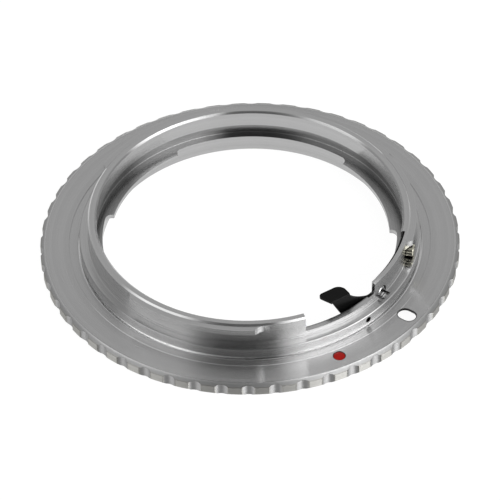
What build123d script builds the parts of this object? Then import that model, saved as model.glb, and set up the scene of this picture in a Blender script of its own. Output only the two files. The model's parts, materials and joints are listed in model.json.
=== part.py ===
from build123d import *
from math import acos, cos, degrees, hypot, radians, sin
import os

# Lens mount adapter ring: a fluted flange with a camera-side bayonet collar above,
# lens-side lugs inside, and a spring-steel release strip screwed to the collar.
# Millimetres, ring axis on Z, lens seat on z = 0. Angles are degrees from +X.

# Lens side, from the bore outward
BORE_R = 23.45
BORE_CHAMFER = 0.1
BORE_CORNER = 0.2
LIP_IN = 0.3
LENS_LUG_IN = 1.15
LENS_LUG_T = 0.75
LENS_LUG_SPAN_ANGLE = 46.0
LENS_LUG_STARTS = (0.5, 120.5, 240.5)
LUG_GAP_TOOL_R = 1.0
LEDGE_W = 0.85
LEDGE_UP = 1.0
GROOVE_DEPTH = 0.35
GROOVE_H = 1.7

# Collar
COLLAR_WALL = 1.3
COLLAR_H = 3.7
RIM_CHAMFER = 0.12
RIM_INNER_CHAMFER = 0.3

# Camera-side lugs on the collar
CAM_LUG_OUT = 0.9
CAM_LUG_T = 1.15
CAM_LUG_BELOW_RIM = 0.3
CAM_LUG_TOOL_R = 2.0
CAM_LUG_BREAK = 0.12
CAM_LUG_SPANS = ((-139.0, -85.5), (-19.0, 34.5), (101.0, 154.5))

# Spigot and turned face
SPIGOT_STEP = 1.5
SPIGOT_H = 1.8
SPIGOT_BREAK = 0.1
UNDERCUT_W = 0.25
UNDERCUT_D = 0.3
UNDERCUT_IN = 0.3
UNDERCUT_UP = 0.2
FACE_STEP_W = 1.66
FACE_STEP_D = 0.1

# Flange
FACE_W = 4.54
FLANGE_T = 2.0
FLANGE_BEVEL_W = 0.75
FLANGE_BEVEL_H = 0.4
FLANGE_FOOT_CHAMFER = 0.3
FLUTES = 50
FLUTE_R = 1.55
FLUTE_DEPTH = 0.42
FLUTE_ANGLE = 2.35

# Lock-pin slot and index dot, set out from the turned line on the face
SLOT_OUT = 1.55
SLOT_ANGLE = -37.15
SLOT_LENGTH = 3.0
SLOT_W = 2.3
SLOT_WEB = 0.35
SLOT_RELIEF_R = 2.2
SLOT_RELIEF_IN = 0.53
SLOT_RELIEF_ANGLE_IN = 1.35
DOT_OUT = 1.39
DOT_ANGLE = -63.7
DOT_R = 1.0
DOT_T = 0.25
DOT_SINK = 0.05

# Blind hole in the spigot
PIN_HOLE_ANGLE = -48.0
PIN_HOLE_R = 0.45
PIN_HOLE_DEPTH = 1.5

# Thumb notch through the collar wall
NOTCH_END_ANGLE = -41.3
NOTCH_SPAN_ANGLE = 29.7
NOTCH_DEPTH = 2.9

# Release strip. The relief, bend and screws are set out from the notch's end.
RELIEF_WALL = 0.6
RELIEF_PAST_ANGLE = 1.7
STRIP_T = 0.45
STRIP_LIFT = 0.35
STRIP_H = 3.4
STRIP_CORNER_R = 1.0
BEND_ANGLE_IN = 1.9
SUNK_ANGLE_IN = 4.3
STOP_ANGLE_IN = 26.3
TAIL_PAST = 1.0
LEAF_TURN_ANGLE = 18.4
NECK_S = 1.2
NECK_H = 0.95
NECK_SLOPE = 0.3
LEAF_FOOT_S = 6.2
LEAF_END_S = 7.95
TAB_START_S = 4.5
TAB_DROP = 0.75
TAB_T = 0.4
TAB_REACH = 2.3
TAB_LEAN = 1.1
TAB_TIP_R = 0.6
TAB_HEEL_R = 1.4
TAB_RISE_SLOPE = 1.3
FOLD_R = 0.3

# Strip screws
STOP_HEAD_H = 1.1
SUNK_HEAD_R = 0.85
SUNK_HEAD_H = 0.33
SUNK_UP = 0.5
SHANK_R = 0.5
HEAD_CHAMFER = 0.1
DRIVE_W = 0.28
DRIVE_D = 0.2
DRIVE_ANGLE = 35.0

# Clearances
STRIP_GAP = 0.05
TAIL_GAP = 0.3
FLEX_GAP = 0.1
SHANK_FIT = 0.02
SEAT_GAP = 0.02
STOP_HEAD_GAP = 0.15
SUNK_HEAD_GAP = 0.2
DOT_FIT = 0.02

# Radii, from the bore outward
LIP_R = BORE_R - LIP_IN
LUG_TIP_R = LIP_R - LENS_LUG_IN
INNER_R = LIP_R + LEDGE_W
GROOVE_R = INNER_R + GROOVE_DEPTH
COLLAR_R = INNER_R + COLLAR_WALL
CAM_LUG_R = COLLAR_R + CAM_LUG_OUT
SPIGOT_R = COLLAR_R + SPIGOT_STEP
LINE_R = SPIGOT_R + FACE_STEP_W
FLANGE_R = LINE_R + FACE_W
RELIEF_R = COLLAR_R - RELIEF_WALL
STRIP_OUT = RELIEF_R - STRIP_GAP
STRIP_IN = STRIP_OUT - STRIP_T
STRIP_MID = (STRIP_IN + STRIP_OUT) / 2

# Heights, from the lens seat up
LEDGE_Z = FLANGE_T + LEDGE_UP
LIP_Z = LEDGE_Z - LENS_LUG_T
SPIGOT_TOP = FLANGE_T + SPIGOT_H
RIM_Z = SPIGOT_TOP + COLLAR_H
CAM_LUG_TOP = RIM_Z - CAM_LUG_BELOW_RIM
CAM_LUG_Z = CAM_LUG_TOP - CAM_LUG_T
STOP_Z = (SPIGOT_TOP + CAM_LUG_Z) / 2
SUNK_Z = SPIGOT_TOP + SUNK_UP
STRIP_Z = LEDGE_Z + STRIP_LIFT
STRIP_TOP = STRIP_Z + STRIP_H
NECK_TOP = STRIP_Z + NECK_H
TAB_TOP = RIM_Z - TAB_DROP

# Angles along the strip
BEND_ANGLE = NOTCH_END_ANGLE + BEND_ANGLE_IN
SUNK_ANGLE = NOTCH_END_ANGLE + SUNK_ANGLE_IN
STOP_ANGLE = NOTCH_END_ANGLE + STOP_ANGLE_IN
TAIL_ANGLE = STOP_ANGLE + degrees(TAIL_PAST / STRIP_IN)
RELIEF_END_ANGLE = TAIL_ANGLE + degrees(TAIL_GAP / STRIP_IN)
SCREWS = ((STOP_ANGLE, STOP_Z), (SUNK_ANGLE, SUNK_Z))

# How far cuts run past the metal they remove
OVER = 1.0


def polar(r, deg):
    return r * cos(radians(deg)), r * sin(radians(deg))


def radial(deg, r, z):
    """Plane on the radius at an angle: its normal points outward and its Y is up."""
    return Plane(
        origin=(*polar(r, deg), z),
        x_dir=(*polar(1, deg + 90), 0),
        z_dir=(*polar(1, deg), 0),
    )


def sector_face(r_in, r_out, a0, a1):
    return make_face(
        [
            CenterArc((0, 0), r_out, a0, a1 - a0),
            Line(polar(r_out, a1), polar(r_in, a1)),
            CenterArc((0, 0), r_in, a0, a1 - a0),
            Line(polar(r_in, a0), polar(r_out, a0)),
        ]
    )


def lift(face, z0, z1):
    return Pos(0, 0, z0) * extrude(face, amount=z1 - z0, dir=(0, 0, 1))


def sector(r_in, r_out, a0, a1, z0, z1):
    return lift(sector_face(r_in, r_out, a0, a1), z0, z1)


def rod(deg, r0, r1, radius, z):
    """Round bar along a radius, from r0 out to r1."""
    bar = Cylinder(radius, r1 - r0, align=(Align.CENTER, Align.CENTER, Align.MIN))
    return radial(deg, r0, z) * bar


def turned_ring():
    """Everything the lathe makes, as one revolved outline."""
    foot_r = SPIGOT_R + UNDERCUT_W
    foot_z = FLANGE_T - UNDERCUT_D
    neck_r = SPIGOT_R - UNDERCUT_IN
    neck_z = FLANGE_T + UNDERCUT_UP
    step_z = FLANGE_T - FACE_STEP_D
    outline = [
        (BORE_R + BORE_CHAMFER, 0),
        (FLANGE_R - FLANGE_FOOT_CHAMFER, 0),
        (FLANGE_R, FLANGE_FOOT_CHAMFER),
        (FLANGE_R, FLANGE_T - FLANGE_BEVEL_H),
        (FLANGE_R - FLANGE_BEVEL_W, FLANGE_T),
        (LINE_R, FLANGE_T),
        (LINE_R, step_z),
        (foot_r, step_z),
        (foot_r, foot_z),
        (neck_r, foot_z),
        (neck_r, neck_z),
        (SPIGOT_R, neck_z),
        (SPIGOT_R, SPIGOT_TOP - SPIGOT_BREAK),
        (SPIGOT_R - SPIGOT_BREAK, SPIGOT_TOP),
        (COLLAR_R, SPIGOT_TOP),
        (COLLAR_R, RIM_Z - RIM_CHAMFER),
        (COLLAR_R - RIM_CHAMFER, RIM_Z),
        (INNER_R + RIM_INNER_CHAMFER, RIM_Z),
        (INNER_R, RIM_Z - RIM_INNER_CHAMFER),
        (INNER_R, LEDGE_Z + GROOVE_H),
        (GROOVE_R, LEDGE_Z + GROOVE_H),
        (GROOVE_R, LEDGE_Z),
        (LIP_R, LEDGE_Z),
        (LIP_R, LIP_Z),
        (BORE_R - BORE_CORNER, LIP_Z),
        (BORE_R, LIP_Z - BORE_CORNER),
        (BORE_R, BORE_CHAMFER),
    ]
    return revolve(Plane.XZ * make_face(Polyline(*outline, close=True)), Axis.Z)


def flutes():
    """Round-bottomed grip flutes along the flange's rim."""
    cutter_r = FLANGE_R - FLUTE_DEPTH + FLUTE_R
    step = 360 / FLUTES
    rounds = [Pos(*polar(cutter_r, FLUTE_ANGLE + k * step)) * Circle(FLUTE_R) for k in range(FLUTES)]
    return lift(Sketch() + rounds, -OVER, FLANGE_T + OVER)


def camera_lug(a0, a1):
    """Outward lug whose ends run out along the end mill's radius."""
    plan = sector_face(COLLAR_R - COLLAR_WALL / 2, CAM_LUG_R, a0, a1)
    for a in (a0, a1):
        plan -= Pos(*polar(COLLAR_R + CAM_LUG_TOOL_R, a)) * Circle(CAM_LUG_TOOL_R)
    lug = lift(plan, CAM_LUG_Z, CAM_LUG_TOP)
    outer = lug.faces().sort_by(lambda f: hypot(f.center().X, f.center().Y))[-1]
    return chamfer(outer.edges().filter_by(GeomType.CIRCLE), CAM_LUG_BREAK)


def lens_lug(start):
    """Inward lug under the groove. The end mill that opens the gaps rounds its ends."""
    tool_r = LIP_R - LUG_GAP_TOOL_R
    reach = (LUG_TIP_R**2 + tool_r**2 - LUG_GAP_TOOL_R**2) / (2 * LUG_TIP_R * tool_r)
    swing = degrees(acos(min(reach, 1)))
    a0, a1 = start - swing, start + LENS_LUG_SPAN_ANGLE + swing
    plan = sector_face(LUG_TIP_R, LIP_R + GROOVE_DEPTH, a0, a1)
    for a in (a0, a1):
        plan -= Pos(*polar(tool_r, a)) * Circle(LUG_GAP_TOOL_R)
    return lift(plan, LIP_Z, LEDGE_Z)


def lock_slot():
    """Slot through a thin web, with a round relief bored under it from the lens side."""
    slot_r = LINE_R + SLOT_OUT
    plan = Rot(0, 0, SLOT_ANGLE) * Pos(slot_r, 0) * SlotOverall(SLOT_LENGTH, SLOT_W)
    under = polar(slot_r - SLOT_RELIEF_IN, SLOT_ANGLE + SLOT_RELIEF_ANGLE_IN)
    relief = Pos(*under) * Circle(SLOT_RELIEF_R)
    return [lift(plan, -OVER, FLANGE_T + OVER), lift(relief, -OVER, FLANGE_T - SLOT_WEB)]


def dot_disc(radius, z0, z1):
    return lift(Pos(*polar(LINE_R + DOT_OUT, DOT_ANGLE)) * Circle(radius), z0, z1)


def shank(deg, z, r0, r1, gap=0.0):
    return rod(deg, r0, r1, SHANK_R + gap, z)


def make_ring():
    body = turned_ring()
    body += [lens_lug(start) for start in LENS_LUG_STARTS]
    body += [camera_lug(a0, a1) for a0, a1 in CAM_LUG_SPANS]
    body -= flutes()
    notch = (NOTCH_END_ANGLE - NOTCH_SPAN_ANGLE, NOTCH_END_ANGLE)
    body -= sector(BORE_R, COLLAR_R + CAM_LUG_OUT / 2, *notch, RIM_Z - NOTCH_DEPTH, RIM_Z + OVER)
    relief = (NOTCH_END_ANGLE - RELIEF_PAST_ANGLE, RELIEF_END_ANGLE)
    body -= sector(BORE_R, RELIEF_R, *relief, LEDGE_Z, RIM_Z + OVER)
    body -= lock_slot()
    body -= dot_disc(DOT_R, FLANGE_T - DOT_SINK - DOT_T, FLANGE_T + OVER)
    pin_z = (FLANGE_T + SPIGOT_TOP) / 2
    body -= rod(PIN_HOLE_ANGLE, SPIGOT_R - PIN_HOLE_DEPTH, SPIGOT_R + OVER, PIN_HOLE_R, pin_z)
    for deg, z in SCREWS:
        body -= shank(deg, z, INNER_R, CAM_LUG_R, SHANK_FIT)
    sunk_r = SUNK_HEAD_R + SUNK_HEAD_GAP
    body -= rod(SUNK_ANGLE, COLLAR_R - SUNK_HEAD_H - SEAT_GAP, CAM_LUG_R, sunk_r, SUNK_Z)
    return body


# The strip leaves the wall at its bend and runs on as a flat leaf.
# On the leaf, X runs from the bend to the tab, Y is up and Z points in to the ring axis.
BEND = polar(STRIP_MID, BEND_ANGLE)
LEAF_DIR = BEND_ANGLE - 90 - LEAF_TURN_ANGLE
LEAF = Plane(
    origin=(*BEND, 0),
    x_dir=(*polar(1, LEAF_DIR), 0),
    z_dir=(*polar(1, LEAF_DIR - 90), 0),
)


def leaf_plate(outline):
    """Upright plate of the strip's thickness from an outline on the leaf."""
    return LEAF * extrude(outline, amount=STRIP_T / 2, both=True)


def block(x0, x1, y0, y1):
    return Pos(x0, y0) * Rectangle(x1 - x0, y1 - y0, align=Align.MIN)


def make_clamped():
    """Clamped half: a curved band with rounded upper corners, up to the neck."""
    band = sector(STRIP_IN, STRIP_OUT, BEND_ANGLE, TAIL_ANGLE, STRIP_Z, STRIP_TOP)
    band = fillet(band.edges().filter_by(GeomType.LINE).group_by(Axis.Z)[-1], STRIP_CORNER_R)
    root = block(0, NECK_S - FLEX_GAP / 2, STRIP_Z, NECK_TOP)
    knuckle = Cylinder(STRIP_T / 2, NECK_H, align=(Align.CENTER, Align.CENTER, Align.MIN))
    band += [leaf_plate(root), Pos(*BEND, STRIP_Z) * knuckle]
    for deg, z in SCREWS:
        band -= shank(deg, z, BORE_R, COLLAR_R, SHANK_FIT)
    return band


def make_lever():
    """Free half: necked leaf, slanted catch end and the finger tab folded inward."""
    neck = (NECK_S + FLEX_GAP / 2, NECK_TOP)
    heel = (TAB_START_S, TAB_TOP - TAB_T)
    leaf = make_face(
        [
            Spline(neck, heel, tangents=((1, NECK_SLOPE), (1, TAB_RISE_SLOPE))),
            Polyline(
                heel,
                (TAB_START_S, TAB_TOP),
                (LEAF_END_S, TAB_TOP),
                (LEAF_FOOT_S, STRIP_Z),
                (neck[0], STRIP_Z),
                neck,
            ),
        ]
    )
    far = [(LEAF_END_S + TAB_LEAN, TAB_REACH), (TAB_START_S, TAB_REACH)]
    tab = make_face(Polyline((TAB_START_S, -STRIP_T / 2), (LEAF_END_S, -STRIP_T / 2), *far, close=True))
    corners = tab.vertices().sort_by(Axis.Y)[-2:].sort_by(Axis.X)
    tab = fillet(corners[1], TAB_TIP_R)
    tab = fillet(tab.vertices().sort_by_distance(far[1])[0], TAB_HEEL_R)
    flat = Plane(origin=(*BEND, TAB_TOP), x_dir=LEAF.x_dir, z_dir=(0, 0, -1))
    lever = leaf_plate(leaf) + flat * extrude(tab, amount=TAB_T)
    fold = (*LEAF.from_local_coords(Vector((TAB_START_S + LEAF_END_S) / 2, TAB_TOP, -STRIP_T / 2)),)
    return fillet(lever.edges().sort_by_distance(fold)[0], FOLD_R)


def screw(deg, z, seat_r, head_r, head_h):
    """Slotted screw: its head sits on seat_r and its shank ends flush with the strip."""
    head = rod(deg, seat_r, seat_r + head_h, head_r, z)
    top = head.faces().sort_by(lambda f: hypot(f.center().X, f.center().Y))[-1]
    head = chamfer(top.edges(), HEAD_CHAMFER)
    drive = Rot(0, 0, DRIVE_ANGLE) * Box(3 * head_r, DRIVE_W, 2 * DRIVE_D)
    return head + shank(deg, z, STRIP_IN, seat_r) - radial(deg, seat_r + head_h, z) * drive


def make_dot():
    top = FLANGE_T - DOT_SINK
    disc = dot_disc(DOT_R - DOT_FIT, top - DOT_T + SEAT_GAP, top)
    return fillet(disc.faces().sort_by(Axis.Z)[-1].edges(), DOT_T / 4)


stop_head_r = (CAM_LUG_Z - SPIGOT_TOP) / 2 - STOP_HEAD_GAP
nodes = {
    "ring_body": make_ring(),
    "lever_leaf": make_clamped(),
    "release_lever": make_lever(),
    "stop_screw": screw(STOP_ANGLE, STOP_Z, COLLAR_R + SEAT_GAP, stop_head_r, STOP_HEAD_H),
    "lever_screw": screw(SUNK_ANGLE, SUNK_Z, COLLAR_R - SUNK_HEAD_H, SUNK_HEAD_R, SUNK_HEAD_H),
    "index_dot": make_dot(),
}

os.makedirs("parts", exist_ok=True)
for name, solid in nodes.items():
    solid.label = name
    export_step(solid, f"parts/{name}.step")
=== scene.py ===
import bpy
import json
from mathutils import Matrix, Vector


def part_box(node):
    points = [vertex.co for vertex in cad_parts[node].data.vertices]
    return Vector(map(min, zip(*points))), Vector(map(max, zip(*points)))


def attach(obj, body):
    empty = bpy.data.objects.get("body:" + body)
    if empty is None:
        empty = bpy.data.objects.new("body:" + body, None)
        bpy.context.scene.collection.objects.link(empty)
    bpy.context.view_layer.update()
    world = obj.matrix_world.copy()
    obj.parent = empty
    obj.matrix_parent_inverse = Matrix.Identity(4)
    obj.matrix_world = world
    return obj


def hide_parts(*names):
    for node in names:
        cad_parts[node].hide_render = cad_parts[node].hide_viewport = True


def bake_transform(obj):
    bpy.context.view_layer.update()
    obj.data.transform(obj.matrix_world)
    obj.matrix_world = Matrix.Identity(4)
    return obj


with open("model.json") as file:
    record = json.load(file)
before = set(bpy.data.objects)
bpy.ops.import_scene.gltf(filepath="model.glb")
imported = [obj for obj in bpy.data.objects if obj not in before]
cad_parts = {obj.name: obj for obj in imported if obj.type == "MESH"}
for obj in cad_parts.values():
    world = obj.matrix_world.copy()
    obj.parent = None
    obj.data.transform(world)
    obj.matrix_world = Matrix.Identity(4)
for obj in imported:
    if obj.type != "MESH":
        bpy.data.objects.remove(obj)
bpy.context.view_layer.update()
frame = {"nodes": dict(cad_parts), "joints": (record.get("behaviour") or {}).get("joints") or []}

import json
import math

import bmesh
import bpy
from bpy.props import FloatProperty, FloatVectorProperty, IntProperty, PointerProperty
from mathutils import Matrix, Vector

bl_info = {
    "name": "Lens mount adapter looks",
    "version": (1, 0, 0),
    "blender": (4, 5, 0),
    "location": "View3D > Sidebar > Adapter",
    "description": "Dresses the packed ring with turned metal, a blackened strip, screws and a red dot",
    "category": "Object",
}

# Sizes below this count as one point when a copied CAD mesh is merged, in metres
WELD = 2e-6

# Faces that meet at less than this are one flat face, in radians
FLAT_ANGLE = 0.004

# Edges sharper than these stay crisp, in radians
ROUNDING_CREASE = 0.7
STRIP_CREASE = 0.6
SCREW_CREASE = 0.5
DOT_CREASE = 1.0

# Distance from the hinge within which the strip's two halves end, in metres
NECK_REACH = 0.00027

# Profile of the dot's crown: share of its radius, and drop below its top in crown heights
DOT_PROFILE = ((0.0, 0.0), (0.35, 0.12), (0.65, 0.4), (0.86, 0.78), (0.96, 1.25), (1.0, 1.8))

# Radii and heights between which the ring's finish, its painted shade and its painted highlights change,
# in metres.
# A zone with two pairs starts over the first and ends over the second.
GRIP_START = (0.0322, 0.0326)
LAND_START = (0.0328, 0.0329)
FACE_START = (0.02695, 0.0271)
SPIGOT_END = (0.02685, 0.0269)
BORE_END = (0.02415, 0.0243)
HOLE_START = (0.0245, 0.0246)
SPIGOT_TOP = (0.0041, 0.0042)
FACE_HEIGHT = (0.0018, 0.00185)
GROOVE_RADII = (0.0231, 0.0234), (0.02445, 0.0246)
GROOVE_HEIGHTS = (0.00296, 0.0031), (0.00468, 0.00476)
UNDERCUT_RADII = (0.0264, 0.02645), (0.027, 0.02704)
UNDERCUT_HEIGHTS = (0.0015, 0.0016), (0.00195, 0.0021)
LIP_RADII = (0.02704, 0.02706), (0.02716, 0.02726)
CHAMFER_SOFT = (-0.00006, -0.00002)

# Places across the ring between which its painted highlights and painted shade change, in metres
LEFT_TO_RIGHT = (-0.006, 0.008)
FAR_RIGHT = (0.013, 0.022)
FAR_RIGHT_BACK = (-0.006, 0.002)
LIP_FRONT = (-0.012, -0.002)
FACE_FRONT = (-0.019, -0.012)

# Shares of the full painted highlight on the rolled lines, and the painted light that the far right adds
# to the undercut
LIP_PAINTED_HIGHLIGHT = 0.6
CORNER_PAINTED_HIGHLIGHT = 0.8
FAR_RIGHT_FOOT_PAINTED_LIGHT = 0.6

# Soft edges and margin of the painted shade in and round the holes, in metres. A hole without a limit is
# shaded as far as it goes.
SLOT_SHADE_MARGIN = 0.0001
SLOT_SOFT = 0.00005
HOLE_SOFT = 0.00004
SEAT_SHADOW_SOFT = 0.0003
SUNK_DOWN = 0.0007
NO_LIMIT = 1.0

# Scales of the patterns, per metre
RING_STAIN = 140.0
STRIP_STAIN = 700.0
STRIP_GRAIN = 9000.0
SCREW_GRAIN = 6000.0
ENAMEL_FLOW = 1500.0

# Broad tool marks to each fine one, and the streaks' direction as a share of a turn
BROAD_MARKS = 0.13
STREAK_TURN = 0.25

# Height of the grain and of the enamel's flow, in metres
GRAIN_RISE = 0.00002
FLOW_RISE = 0.00003

# Places in the light tent, in shares of its radius
FAN_POINT = 0.76
FAN_NEAREST = 0.06
TENT_FRONT = (0.1, 0.6)
TENT_LOW = (0.69, 0.73)
GAP_TOP = (0.69, 0.735)

# Share of the gap that is left above its top
GAP_ABOVE = 0.35

# Sides of the tent's panels on the fan: distance to the right over distance in front of the fan's point
GAP_FAN = (-0.42, -0.14), (0.12, 0.24)
KEY_FAN = (0.13, 0.36), (0.5, 1.3)
CREST_FAN = (0.1, 0.18), (0.2, 0.28)
FILL_FAN = (-1.3, -0.8), (-0.5, -0.28)

# Floor and foot of the tent, in metres
FLOOR_HALF = 4.0
FLOOR_DROP = 0.00002
TENT_FOOT = 0.001

# Strength of the room behind the tent where it gives light, and the camera's sensor in millimetres
ROOM_LIGHT = 0.5
SENSOR = 36.0


def shade(name, description, default):
    return FloatVectorProperty(
        name=name, description=description, default=default, subtype="COLOR", min=0, max=1
    )


def share(name, description, default):
    return FloatProperty(
        name=name, description=description, default=default, subtype="FACTOR", min=0, max=1
    )


def gain(name, description, default):
    return FloatProperty(name=name, description=description, default=default, min=0)


def length(name, description, default):
    return FloatProperty(
        name=name, description=description, default=default, unit="LENGTH", precision=6
    )


def turn(name, description, default):
    return FloatProperty(
        name=name, description=description, default=math.radians(default), subtype="ANGLE"
    )


class RingFinish(bpy.types.PropertyGroup):
    """Turned aluminium of the ring"""

    metal: shade("Metal", "Colour of the bare turned metal", (0.56, 0.56, 0.56))
    rim_metal: shade("Grip metal", "Colour of the fluted grip", (0.5, 0.495, 0.475))
    roughness: share("Flange roughness", "Mean roughness of the flange", 0.25)
    grip_roughness: share("Grip roughness", "Mean roughness of the fluted grip", 0.55)
    fine_roughness: share("Collar roughness", "Mean roughness of the collar, spigot and bore", 0.17)
    stretch: share("Streak", "How far highlights stretch across the tool marks", 0.97)
    pitch: length("Mark pitch", "Distance between neighbouring tool marks", 0.00012)
    depth: share("Mark depth", "Strength of the tool marks' bump", 0.12)
    crease: turn("Crease angle", "Edges sharper than this stay crisp", 25)
    edge: length("Edge", "Width of the broken edges", 0.00004)
    # Painted shade on the bore's walls
    inside: share("Inside", "Shade of the bore's walls beside the faces", 0.78)
    # Painted shade in the bayonet groove and on its ledge
    groove: share("Groove", "Shade of the bayonet groove and its ledge beside the faces", 0.5)
    # Painted light in the undercut at the spigot's foot, on the left and on the right
    foot: gain("Foot", "Brightness of the undercut on the left", 1.7)
    far_foot_painted_light: gain("Far foot", "Brightness of the undercut on the right", 1.1)
    # Painted shade on the spigot's upper chamfer, and a painted highlight on it at the far right
    step_edge: share("Step edge", "Shade of the spigot's upper chamfer beside the faces", 0.55)
    far_edge: gain("Far edge", "Brightness of that chamfer on the right", 1.25)
    step_sum: length("Step sum", "Radius and height, added, of that chamfer", 0.0305)
    # Painted highlight on the rolled lines in front
    wear: gain("Line wear", "Brightness of the worn lines in front", 1.8)
    flute: gain("Flute", "Brightness of the flutes beside the lands", 0.82)
    flute_turn: turn("Flute turn", "Angle of the first flute about the axis", 2.35)
    flute_step: turn("Flute step", "Angle from flute to flute", 7.2)
    flute_axis: length("Flute axis", "Distance of the flutes' axes from the ring's axis", 0.03413)
    flute_reach: length("Flute reach", "Radius of the flutes and their bright edges", 0.0016)
    corner_line: length("Corner line", "Radius of the rolled line at the collar's foot", 0.02545)
    lip_line: length("Lip line", "Radius of the rolled line beside the undercut", 0.02706)
    face_line: length("Face line", "Radius of the rolled line on the face", 0.02845)
    edge_line: length("Edge line", "Radius of the rolled line at the face's edge", 0.0322)
    line_wide: length("Line width", "Half of the width of the rolled lines", 0.00013)
    line_rise: length("Line rise", "Height of the rolled lines", 0.000016)
    # Painted shade in the lock slot and the small holes, and a painted shadow round the stop screw; the
    # holes' places follow
    hole: share("Hole", "Shade of the small holes' walls beside the faces", 0.06)
    sunk_turn: turn("Sunk hole turn", "Angle of the sunk screw's hole about the axis", -37.0)
    sunk_height: length("Sunk hole height", "Height of the sunk screw's hole", 0.0043)
    sunk_reach: length("Sunk hole radius", "Radius of the sunk screw's hole", 0.00107)
    pin_turn: turn("Pin hole turn", "Angle of the pin hole about the axis", -48.0)
    pin_height: length("Pin hole height", "Height of the pin hole", 0.0029)
    pin_reach: length("Pin hole radius", "Radius of the pin hole", 0.00048)
    stop_turn: turn("Stop screw turn", "Angle of the stop screw about the axis", -15.0)
    stop_height: length("Stop screw height", "Height of the stop screw", 0.004925)
    # Painted shadow round the stop screw's head
    stop_shadow_reach: length("Stop screw seat", "Radius of the dark seat round the stop screw", 0.0012)
    collar: length("Collar", "Radius of the collar", 0.0253)
    rim_break: length("Rim break", "Width of the rim's outer chamfer", 0.00012)
    rim_wear: length("Rim wear", "Further width of that chamfer where the edge is worn", 0.00013)
    lug: length("Lug", "Radius of the camera lugs", 0.0262)
    lug_drop: length("Lug drop", "Depth of the camera lugs below the rim", 0.0003)
    lug_break: length("Lug break", "Width of the camera lugs' chamfer", 0.00012)
    slot_radius: length("Slot radius", "Distance of the lock slot from the axis", 0.03001)
    slot_turn: turn("Slot turn", "Angle of the lock slot about the axis", -37.15)
    slot_straight: length("Slot straight", "Half of the slot's straight length", 0.00035)
    slot_half: length("Slot half width", "Half of the slot's width", 0.00115)


class StripFinish(bpy.types.PropertyGroup):
    """Blackened spring steel of the release strip"""

    black: shade("Black", "Colour of the blackened steel", (0.003, 0.003, 0.003))
    roughness: share("Roughness", "Mean roughness of the black finish", 0.42)
    shine: share("Shine", "Strength of the black finish's reflections", 0.11)
    edge: length("Edge", "Width of the rounded edges", 0.00005)
    flex: length("Flex length", "Half of the length over which the neck bends", 0.0006)


class ScrewFinish(bpy.types.PropertyGroup):
    """Two small slotted screws"""

    pale: shade("Stop screw", "Colour of the stop screw", (0.64, 0.62, 0.51))
    bright: shade("Sunk screw", "Colour of the sunk screw", (0.6, 0.6, 0.6))
    roughness: share("Roughness", "Mean roughness of the heads", 0.12)


class DotFinish(bpy.types.PropertyGroup):
    """Enamel of the index dot"""

    red: shade("Red", "Colour of the enamel", (0.4, 0.005, 0.001))
    edge: share("Edge", "Shade of the enamel's rim beside its middle", 0.3)
    shine: share("Shine", "Strength of the enamel's reflections", 0.2)
    crown: length("Crown", "Rise of the enamel at the middle of the dot", 0.00006)
    steps: IntProperty(name="Steps", description="Sides of the dot's outline", default=64, min=12)


class Studio(bpy.types.PropertyGroup):
    """Floor, light tent and camera"""

    floor: shade("Floor", "Colour of the floor", (0.9, 0.9, 0.9))
    white: share("White", "Glow of the floor where it is seen", 0.93)
    shadow: share("Shadow", "Share of the floor's own light where it is seen", 0.16)
    tent: gain("Tent", "Brightness of the tent's cloth", 0.55)
    gap: gain("Gap", "Brightness of the open front of the tent", 0.01)
    key: gain("Key", "Brightness of the softbox on the right", 4.2)
    fill: gain("Fill", "Brightness of the softbox on the left", 1.6)
    crest: gain("Crest", "Brightness of the strip overhead", 1.3)
    tent_size: length("Tent size", "Radius of the tent", 1.2)
    lens: FloatProperty(name="Lens", description="Focal length", default=290.4, unit="CAMERA")
    distance: length("Distance", "Camera to the middle of the ring", 0.636)
    elevation: turn("Elevation", "Camera above the horizon", 42.957)
    roll: turn("Roll", "Camera turned about its own axis", -1.353)
    aim: length("Aim height", "Height of the point that the camera looks at", 0.0004)
    rise: FloatProperty(name="Rise", description="Camera's upward shift", default=-0.00814)


class Value:
    """Socket of a shader tree that can stand in a Python expression."""

    def __init__(self, graph, socket):
        self.graph, self.socket = graph, socket

    def out(self, name):
        return Value(self.graph, self.socket.node.outputs[name])

    def math(self, operation, first, second):
        return self.graph.node("ShaderNodeMath", {"operation": operation}, {0: first, 1: second})

    def __add__(self, other):
        return self.math("ADD", self, other)

    def __radd__(self, other):
        return self.math("ADD", other, self)

    def __sub__(self, other):
        return self.math("SUBTRACT", self, other)

    def __rsub__(self, other):
        return self.math("SUBTRACT", other, self)

    def __mul__(self, other):
        return self.math("MULTIPLY", self, other)

    def __rmul__(self, other):
        return self.math("MULTIPLY", other, self)

    def __truediv__(self, other):
        return self.math("DIVIDE", self, other)

    def __rtruediv__(self, other):
        return self.math("DIVIDE", other, self)

    def __pow__(self, other):
        return self.math("POWER", self, other)

    def at_least(self, other):
        return self.math("MAXIMUM", self, other)

    def angle(self, x):
        """Angle about the axis, where this is y."""
        return self.math("ARCTAN2", self, x)

    def fold(self, half):
        """Distance from the nearest multiple of twice this half."""
        return self.math("PINGPONG", self, half)


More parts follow.
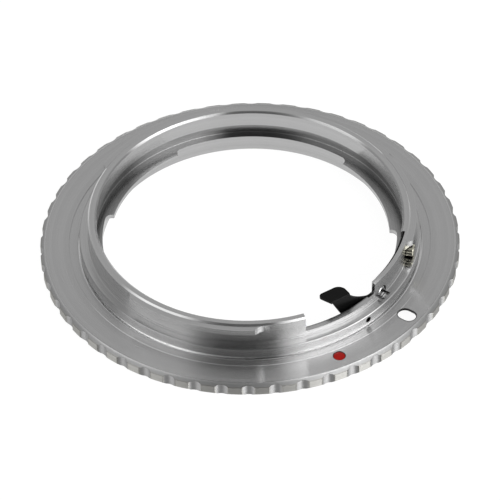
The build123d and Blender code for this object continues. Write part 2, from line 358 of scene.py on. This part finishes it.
class Graph:
    """Shader tree of a material or world, filled node by node."""

    def __init__(self, owner):
        owner.use_nodes = True
        self.tree = owner.node_tree
        self.tree.nodes.clear()

    def node(self, kind, settings=None, sockets=None, out=0):
        node = self.tree.nodes.new(kind)
        for name, value in (settings or {}).items():
            setattr(node, name, value)
        for name, value in (sockets or {}).items():
            if isinstance(value, Value):
                self.tree.links.new(value.socket, node.inputs[name])
            else:
                node.inputs[name].default_value = value
        return Value(self, node.outputs[out]) if node.outputs else node

    def place(self):
        """Object coordinates, in metres."""
        return self.node("ShaderNodeTexCoord", out="Object")

    def axes(self):
        """Object coordinates one by one."""
        x = self.node("ShaderNodeSeparateXYZ", {}, {"Vector": self.place()})
        return x, x.out("Y"), x.out("Z")

    def seen(self):
        """1 for what the camera, mirrors and glass see, 0 for what lights the scene."""
        rays = self.node("ShaderNodeLightPath", out="Is Camera Ray")
        return rays + rays.out("Is Glossy Ray") + rays.out("Is Transmission Ray")

    def ramp(self, value, low, high, start=0.0, end=1.0):
        """Smooth step from start to end while value goes from low to high."""
        return self.node(
            "ShaderNodeMapRange",
            {"interpolation_type": "SMOOTHSTEP"},
            {"Value": value, "From Min": low, "From Max": high, "To Min": start, "To Max": end},
        )

    def fade(self, value, low, high):
        """Smooth step from 1 to 0."""
        return self.ramp(value, low, high, 1.0, 0.0)

    def band(self, value, start, end):
        """1 between a soft start and a soft end, 0 outside."""
        return self.ramp(value, *start) * self.fade(value, *end)

    def streaks(self, along, detail=2.0):
        """Noise from 0 to 1 that changes in one direction only."""
        settings = {"noise_dimensions": "1D"}
        return self.node("ShaderNodeTexNoise", settings, {"W": along, "Scale": 1.0, "Detail": detail})

    def cloud(self, scale):
        sockets = {"Vector": self.place(), "Scale": scale, "Detail": 2.0}
        return self.node("ShaderNodeTexNoise", {}, sockets)

    def mix(self, factor, first, second):
        """Colour between two colours."""
        settings = {"data_type": "RGBA"}
        sockets = {"Factor": factor, 6: first, 7: second}
        return self.node("ShaderNodeMix", settings, sockets, out=2)

    def grey(self, value):
        return self.node("ShaderNodeCombineColor", {}, {"Red": value, "Green": value, "Blue": value})

    def tint(self, colour, tone):
        """Colour made lighter or darker by a value."""
        settings = {"data_type": "RGBA", "blend_type": "MULTIPLY"}
        return self.node("ShaderNodeMix", settings, {"Factor": 1.0, 6: colour, 7: self.grey(tone)}, out=2)

    def bump(self, height, strength, distance):
        sockets = {"Height": height, "Strength": strength, "Distance": distance}
        return self.node("ShaderNodeBump", {}, sockets)

    def surface(self, shader):
        self.node("ShaderNodeOutputMaterial", {}, {"Surface": shader})

    def principled(self, sockets):
        self.surface(self.node("ShaderNodeBsdfPrincipled", {}, sockets))


def opaque(colour, factor=1.0):
    return (*(factor * part for part in colour), 1.0)


def span(first, second):
    """Length of the vector with these two parts."""
    return (first * first + second * second) ** 0.5


def painted_hole_shade(graph, look, x, y, z):
    """Painted shade that darkens the lock slot's wall and the seats of the small holes, with a painted
    shadow round the stop screw.
    """

    def turned(angle):
        return math.cos(angle) * x + math.sin(angle) * y, math.cos(angle) * y - math.sin(angle) * x

    along, across = turned(look.slot_turn)
    along = along - look.slot_radius
    past = (along.at_least(-1.0 * along) - look.slot_straight).at_least(0.0)
    edge = look.slot_half + SLOT_SHADE_MARGIN
    # Painted shade on the slot's wall and on a thin margin of the flange round it
    tone = graph.ramp(span(past, across), edge, edge + SLOT_SOFT, look.hole, 1.0)
    for angle, height, size, soft, down, out in (
        (look.sunk_turn, look.sunk_height, look.sunk_reach, HOLE_SOFT, SUNK_DOWN, look.lug),
        (look.pin_turn, look.pin_height, look.pin_reach, HOLE_SOFT, NO_LIMIT, NO_LIMIT),
        (look.stop_turn, look.stop_height, look.stop_shadow_reach, SEAT_SHADOW_SOFT, NO_LIMIT, look.lug),
    ):
        along, across = turned(angle)
        up = z - height
        away = graph.fade(along, *HOLE_START) + graph.ramp(along, out - SLOT_SOFT, out)
        away = away + graph.fade(up, -1.1 * down, -1.0 * down)
        # Painted shade in the small holes and a painted shadow round the stop screw's head
        tone = tone * graph.ramp(span(across, up) + away, size, size + soft, look.hole, 1.0)
    return tone


def turned_metal(look):
    """Satin aluminium with tool marks that run round the ring's axis, and painted shade and painted
    highlights in its colour.
    """
    material = bpy.data.materials.new("turned_metal")
    graph = Graph(material)
    x, y, z = graph.axes()
    radius = span(x, y)
    track = (radius + z) / look.pitch
    fine = graph.streaks(track)
    broad = graph.streaks(track * BROAD_MARKS, 1.0)
    stain = graph.cloud(RING_STAIN)
    below = graph.fade(z, *SPIGOT_TOP)
    # Far right front, where the painted light on the undercut, the chamfer and the rolled lines is
    # strongest
    right = graph.ramp(x, *FAR_RIGHT) * graph.fade(y, *FAR_RIGHT_BACK)
    lines = {}
    for place in (look.corner_line, look.lip_line, look.face_line, look.edge_line):
        off = (radius - place) / look.line_wide
        lines[place] = graph.fade(off * off, 0.0, 1.0)

    # Tool marks and stains, with painted shade in the holes and on the bore's walls
    shine = 0.9 + 0.12 * fine + 0.1 * broad - 0.04 * stain
    shine = shine * painted_hole_shade(graph, look, x, y, z) * graph.ramp(radius, *BORE_END, look.inside, 1.0)

    # Painted light in the undercut at the spigot's foot, stronger on the left and at the far right
    foot = graph.band(radius, *UNDERCUT_RADII) * graph.band(z, *UNDERCUT_HEIGHTS)
    painted_glint = graph.ramp(x, *LEFT_TO_RIGHT, look.foot, look.far_foot_painted_light) + FAR_RIGHT_FOOT_PAINTED_LIGHT * right
    shine = shine * (1.0 + (painted_glint - 1.0) * foot)

    # Painted shade on the spigot's upper chamfer, and a painted highlight on it at the far right
    chamfer = look.step_edge + (look.far_edge - look.step_edge) * right
    step = graph.ramp(radius + z - look.step_sum, *CHAMFER_SOFT, 1.0, chamfer)
    shine = shine * (1.0 - below * graph.fade(radius, *SPIGOT_END) * (1.0 - step))

    # Painted highlights on the rolled lines, in front and at the far right
    worn = lines[look.lip_line] * graph.ramp(y, *LIP_FRONT, LIP_PAINTED_HIGHLIGHT, 0.0)
    worn = worn + LIP_PAINTED_HIGHLIGHT * right * graph.band(radius, *LIP_RADII)
    worn = worn + CORNER_PAINTED_HIGHLIGHT * right * lines[look.corner_line]
    worn = below * (worn + lines[look.face_line] * graph.fade(y, *FACE_FRONT))
    shine = shine * (1.0 + (look.wear - 1.0) * worn)

    # Flutes of the grip
    swing = (y.angle(x) - look.flute_turn).fold(0.5 * look.flute_step)
    lift = look.flute_axis - radius
    reach = (lift * lift + look.flute_axis * radius * swing * swing) ** 0.5
    flute = graph.fade(reach, look.flute_reach, look.flute_reach + HOLE_SOFT)
    shine = shine * (1.0 + (look.flute - 1.0) * flute)

    # Painted shade in the bayonet groove and on its ledge
    groove = graph.band(z, *GROOVE_HEIGHTS) * graph.band(radius, *GROOVE_RADII)
    shine = shine * (1.0 - (1.0 - look.groove) * groove)

    plain = graph.mix(graph.ramp(radius, *LAND_START), opaque(look.metal), opaque(look.rim_metal))
    rough = look.fine_roughness + (look.roughness - look.fine_roughness) * graph.ramp(radius, *FACE_START)
    rough = rough + (look.grip_roughness - look.roughness) * graph.ramp(radius, *GRIP_START)
    marks = 0.5 * look.depth * look.pitch / look.line_rise
    bead = sum(lines.values()) * graph.ramp(z, *FACE_HEIGHT) * below
    graph.principled(
        {
            "Base Color": graph.tint(plain, shine),
            "Metallic": 1.0,
            "Roughness": rough - 0.04 + 0.05 * fine + 0.04 * stain,
            "Anisotropic": look.stretch,
            "Anisotropic Rotation": STREAK_TURN,
            "Normal": graph.bump(marks * (fine * 0.7 + broad) + bead, 1.0, look.line_rise),
        }
    )
    return material


def blackened_steel(look):
    """Satin black with a faint grain."""
    material = bpy.data.materials.new("blackened_steel")
    graph = Graph(material)
    grain = graph.cloud(STRIP_GRAIN)
    stain = graph.cloud(STRIP_STAIN)
    graph.principled(
        {
            "Base Color": graph.mix(stain, opaque(look.black), opaque(look.black, 1.9)),
            "Roughness": look.roughness - 0.08 + 0.1 * grain + 0.06 * stain,
            "Specular IOR Level": look.shine,
            "Normal": graph.bump(grain, 0.12, GRAIN_RISE),
        }
    )
    return material


def screw_metal(name, colour, look):
    """Bright steel with a brushed grain."""
    material = bpy.data.materials.new(name)
    graph = Graph(material)
    grain = graph.cloud(SCREW_GRAIN)
    graph.principled(
        {
            "Base Color": graph.mix(grain, opaque(colour, 0.86), opaque(colour)),
            "Metallic": 1.0,
            "Roughness": look.roughness - 0.06 + 0.12 * grain,
            "Normal": graph.bump(grain, 0.08, GRAIN_RISE),
        }
    )
    return material


def red_enamel(look, middle, reach):
    """Glossy paint that has levelled in its pocket."""
    material = bpy.data.materials.new("red_enamel")
    graph = Graph(material)
    flow = graph.cloud(ENAMEL_FLOW)
    x, y, _ = graph.axes()
    rim = graph.ramp(span(x - middle.x, y - middle.y), 0.8 * reach, 0.97 * reach)
    plain = graph.mix(flow, opaque(look.red, 0.85), opaque(look.red))
    graph.principled(
        {
            "Base Color": graph.mix(rim, plain, opaque(look.red, look.edge)),
            "Roughness": 0.2 + 0.08 * flow,
            "Specular IOR Level": look.shine,
            "Normal": graph.bump(flow, 0.1, FLOW_RISE),
        }
    )
    return material


def copy_of(*nodes):
    """Merged copy of CAD nodes' meshes."""
    bm = bmesh.new()
    for node in nodes:
        bm.from_mesh(frame["nodes"][node].data)
    bmesh.ops.remove_doubles(bm, verts=bm.verts, dist=WELD)
    return bm


def wear_rim(bm, look):
    """Widen the rim's outer chamfer and leave the upper edges of the camera lugs crisp."""
    top = max(v.co.z for v in bm.verts)
    near = look.rim_break / 4
    for vert in bm.verts:
        reach, drop = vert.co.xy.length, top - vert.co.z
        at_lug_top = look.lug_drop - near < drop < look.lug_drop + look.lug_break + near
        if drop < near and abs(reach - look.collar + look.rim_break) < near:
            vert.co.xy *= 1 - look.rim_wear / reach
        elif abs(reach - look.collar) < near and abs(drop - look.rim_break) < near:
            vert.co.z -= look.rim_wear
        elif at_lug_top and reach > look.lug - look.lug_break - near:
            vert.co.xy *= look.lug / reach
            vert.co.z = top - look.lug_drop
    bmesh.ops.remove_doubles(bm, verts=bm.verts, dist=WELD)


def break_edges(bm, width, crease, segments=3, keep=lambda edge: False):
    """Round the sharp edges. Flat faces keep their own shading beside the rounding."""
    bmesh.ops.dissolve_limit(bm, angle_limit=FLAT_ANGLE, verts=bm.verts, edges=bm.edges)
    sharp = [e for e in bm.edges if e.is_manifold and e.calc_face_angle() > crease and not keep(e)]
    made = bmesh.ops.bevel(
        bm,
        geom=sharp,
        offset=width,
        offset_type="OFFSET",
        segments=segments,
        profile=0.5,
        affect="EDGES",
        material=-1,
        clamp_overlap=True,
    )
    rounding = set(made["faces"])
    for face in bm.faces:
        face.smooth = True
    for edge in bm.edges:
        sides = sum(face in rounding for face in edge.link_faces)
        limit = max(crease, ROUNDING_CREASE) if sides == 2 else crease
        edge.smooth = edge.is_manifold and sides != 1 and edge.calc_face_angle() < limit


def soften(bm, crease):
    """Smooth shading with crisp edges where faces meet at more than the crease angle."""
    for face in bm.faces:
        face.smooth = True
    for edge in bm.edges:
        edge.smooth = edge.is_manifold and edge.calc_face_angle() < crease


def placed(bm, name, material):
    """Object made of a bmesh, which is used up."""
    mesh = bpy.data.meshes.new(name)
    bm.to_mesh(mesh)
    bm.free()
    mesh.materials.append(material)
    thing = bpy.data.objects.new(name, mesh)
    bpy.context.scene.collection.objects.link(thing)
    return thing


def finished(bm, name, material, slot, *nodes):
    """Object for a piece that stands for CAD nodes."""
    piece = placed(bm, name, material)
    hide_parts(*nodes)
    return piece


class ADAPTER_OT_ring(bpy.types.Operator):
    """Turned ring with its collar, lugs, spigot and fluted flange"""

    bl_idname = "adapter.ring"
    bl_label = "Turned ring"

    def execute(self, context):
        look = context.scene.adapter_ring
        bm = copy_of("ring_body")
        wear_rim(bm, look)
        slot = Matrix.Rotation(look.slot_turn, 4, "Z") @ Vector((look.slot_radius, 0, 0))
        reach = look.slot_straight + look.slot_half + look.edge
        lug_top = max(v.co.z for v in bm.verts) - look.lug_drop

        def crisp(edge):
            in_slot = all((v.co - slot).xy.length < reach for v in edge.verts)
            outside = all(v.co.xy.length > look.lug - WELD for v in edge.verts)
            return in_slot or (outside and all(abs(v.co.z - lug_top) < WELD for v in edge.verts))

        break_edges(bm, look.edge, look.crease, keep=crisp)
        piece = finished(bm, "turned_ring", turned_metal(look), "ring_metal", "ring_body")
        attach(piece, "ring")
        return {"FINISHED"}


class ADAPTER_OT_strip(bpy.types.Operator):
    """Release strip, one piece from its screws to the finger tab"""

    bl_idname = "adapter.strip"
    bl_label = "Release strip"

    def execute(self, context):
        look = context.scene.adapter_strip
        hinge = Vector(next(j for j in frame["joints"] if j["name"] == "lever_flex")["pos_m"])
        bm = copy_of("lever_leaf", "release_lever")

        # The two halves end in small faces on either side of the hinge. They are joined across it.
        ends = [f for f in bm.faces if all((v.co - hinge).xy.length < NECK_REACH for v in f.verts)]
        along = max(ends, key=lambda f: f.calc_area()).normal.copy()
        rims = [e for e in {e for f in ends for e in f.edges} if sum(f in ends for f in e.link_faces) == 1]
        bmesh.ops.delete(bm, geom=ends, context="FACES_KEEP_BOUNDARY")
        bmesh.ops.bridge_loops(bm, edges=[e for e in rims if e.is_valid])
        bmesh.ops.recalc_face_normals(bm, faces=bm.faces)
        break_edges(bm, look.edge, STRIP_CREASE)
        piece = finished(
            bm, "release_strip", blackened_steel(look), "black_spring_steel", "lever_leaf", "release_lever"
        )
        lever_side = Vector(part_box("release_lever")[0]) - hinge
        if along.dot(lever_side) < 0:
            along.negate()
        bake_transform(piece)
        return {"FINISHED"}


class ADAPTER_OT_screws(bpy.types.Operator):
    """Two slotted screws that hold the strip"""

    bl_idname = "adapter.screws"
    bl_label = "Strip screws"

    def execute(self, context):
        look = context.scene.adapter_screws
        for node, colour, slot in (
            ("stop_screw", look.pale, "pale_screw_steel"),
            ("lever_screw", look.bright, "screw_steel"),
        ):
            bm = copy_of(node)
            soften(bm, SCREW_CREASE)
            piece = finished(bm, f"{node}_head", screw_metal(node, colour, look), slot, node)
            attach(piece, "ring")
        return {"FINISHED"}


class ADAPTER_OT_dot(bpy.types.Operator):
    """Index dot of crowned enamel in its pocket"""

    bl_idname = "adapter.dot"
    bl_label = "Index dot"

    def execute(self, context):
        look = context.scene.adapter_dot
        low, high = (Vector(corner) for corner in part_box("index_dot"))
        middle = (low + high) / 2
        reach = (high.x - low.x) / 2
        crown = [(out, high.z - drop * look.crown) for out, drop in DOT_PROFILE]
        bm = bmesh.new()
        outline = [
            bm.verts.new((middle.x + out * reach, middle.y, z))
            for out, z in (*crown, (1.0, low.z), (0.0, low.z))
        ]
        edges = [bm.edges.new(pair) for pair in zip(outline, outline[1:])]
        bmesh.ops.spin(
            bm,
            geom=outline + edges,
            cent=middle,
            axis=(0, 0, 1),
            angle=2 * math.pi,
            steps=look.steps,
            use_merge=True,
        )
        bmesh.ops.remove_doubles(bm, verts=bm.verts, dist=WELD)
        bmesh.ops.recalc_face_normals(bm, faces=bm.faces)
        soften(bm, DOT_CREASE)
        piece = finished(bm, "enamel_dot", red_enamel(look, middle, reach), "red_enamel", "index_dot")
        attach(piece, "ring")
        return {"FINISHED"}


def tent_cloth(look):
    """Light of the tent. Its panels fan out from the back, over the ring, to the open front."""
    material = bpy.data.materials.new("tent_cloth")
    graph = Graph(material)
    x, y, z = (axis / look.tent_size for axis in graph.axes())
    fan = x / (FAN_POINT - y).at_least(FAN_NEAREST)
    low = graph.fade(z, *TENT_LOW)
    gap = graph.band(fan, *GAP_FAN) * graph.ramp(z, *GAP_TOP, 1.0, GAP_ABOVE)
    panels = (
        gap * (look.gap - look.tent)
        + graph.band(fan, *KEY_FAN) * low * (look.key - look.tent)
        + graph.band(fan, *CREST_FAN) * (1.0 - low) * (look.crest - look.tent)
        + graph.band(fan, *FILL_FAN) * low * (look.fill - look.tent)
    )
    glow = look.tent + graph.fade(y, *TENT_FRONT) * panels
    graph.surface(graph.node("ShaderNodeEmission", {}, {"Color": graph.grey(glow)}))
    return material


def floor_paper(look):
    """Pale paper that the camera sees as white, apart from the ring's shadow."""
    material = bpy.data.materials.new("floor_paper")
    graph = Graph(material)
    paper = graph.node("ShaderNodeBsdfDiffuse", {}, {"Color": opaque(look.floor)})
    thin = graph.node("ShaderNodeBsdfDiffuse", {}, {"Color": opaque(look.floor, look.shadow)})
    white = graph.node("ShaderNodeEmission", {}, {"Strength": look.white})
    bright = graph.node("ShaderNodeAddShader", {}, {0: thin, 1: white})
    graph.surface(graph.node("ShaderNodeMixShader", {}, {0: graph.seen(), 1: paper, 2: bright}))
    return material


class ADAPTER_OT_stage(bpy.types.Operator):
    """Floor, light tent, white background and the camera"""

    bl_idname = "adapter.stage"
    bl_label = "Stage"

    def execute(self, context):
        look = context.scene.adapter_studio
        context.scene.view_settings.view_transform = "Standard"

        bm = bmesh.new()
        bmesh.ops.create_grid(bm, x_segments=1, y_segments=1, size=FLOOR_HALF)
        bmesh.ops.translate(bm, verts=bm.verts, vec=(0, 0, -FLOOR_DROP))
        self.prop(bm, "floor", floor_paper(look))

        bm = bmesh.new()
        bmesh.ops.create_uvsphere(bm, u_segments=96, v_segments=48, radius=look.tent_size)
        bmesh.ops.bisect_plane(
            bm,
            geom=bm.verts[:] + bm.edges[:] + bm.faces[:],
            plane_co=(0, 0, TENT_FOOT),
            plane_no=(0, 0, 1),
            clear_inner=True,
        )
        bmesh.ops.reverse_faces(bm, faces=bm.faces)
        tent = self.prop(bm, "light_tent", tent_cloth(look))
        tent.visible_camera = False
        tent.visible_transmission = False

        world = bpy.data.worlds.new("white_room")
        context.scene.world = world
        graph = Graph(world)
        strength = ROOM_LIGHT + (1.0 - ROOM_LIGHT) * graph.seen()
        room = graph.node("ShaderNodeBackground", {}, {"Color": opaque((1, 1, 1)), "Strength": strength})
        graph.node("ShaderNodeOutputWorld", {}, {"Surface": room})

        data = bpy.data.cameras.new("camera")
        data.sensor_width = SENSOR
        data.lens = look.lens
        data.shift_y = look.rise
        data.clip_start, data.clip_end = 0.01, 20.0
        camera = bpy.data.objects.new("camera", data)
        context.scene.collection.objects.link(camera)
        back = Vector((0, -math.cos(look.elevation), math.sin(look.elevation)))
        place = Matrix.Translation(Vector((0, 0, look.aim)) + look.distance * back)
        lean = Matrix.Rotation(math.pi / 2 - look.elevation, 4, "X")
        camera.matrix_world = place @ lean @ Matrix.Rotation(look.roll, 4, "Z")
        context.scene.camera = camera
        return {"FINISHED"}

    def prop(self, bm, name, material):
        thing = placed(bm, name, material)
        return thing


OPERATORS = (ADAPTER_OT_ring, ADAPTER_OT_strip, ADAPTER_OT_screws, ADAPTER_OT_dot, ADAPTER_OT_stage)
GROUPS = {
    "adapter_ring": RingFinish,
    "adapter_strip": StripFinish,
    "adapter_screws": ScrewFinish,
    "adapter_dot": DotFinish,
    "adapter_studio": Studio,
}


class ADAPTER_PT_panel(bpy.types.Panel):
    """Looks of the adapter ring"""

    bl_idname = "ADAPTER_PT_panel"
    bl_label = "Lens mount adapter"
    bl_space_type = "VIEW_3D"
    bl_region_type = "UI"
    bl_category = "Adapter"

    def draw(self, context):
        for operator, (name, group) in zip(OPERATORS, GROUPS.items()):
            box = self.layout.box()
            box.operator(operator.bl_idname)
            for prop in group.__annotations__:
                box.prop(getattr(context.scene, name), prop)


def register():
    for cls in (*GROUPS.values(), *OPERATORS, ADAPTER_PT_panel):
        bpy.utils.register_class(cls)
    for name, group in GROUPS.items():
        setattr(bpy.types.Scene, name, PointerProperty(type=group))


def unregister():
    for name in GROUPS:
        delattr(bpy.types.Scene, name)
    for cls in reversed((*GROUPS.values(), *OPERATORS, ADAPTER_PT_panel)):
        bpy.utils.unregister_class(cls)


def main():
    register()
    bpy.ops.adapter.ring()
    bpy.ops.adapter.strip()
    bpy.ops.adapter.screws()
    bpy.ops.adapter.dot()
    bpy.ops.adapter.stage()


if __name__ == "__main__":
    main()
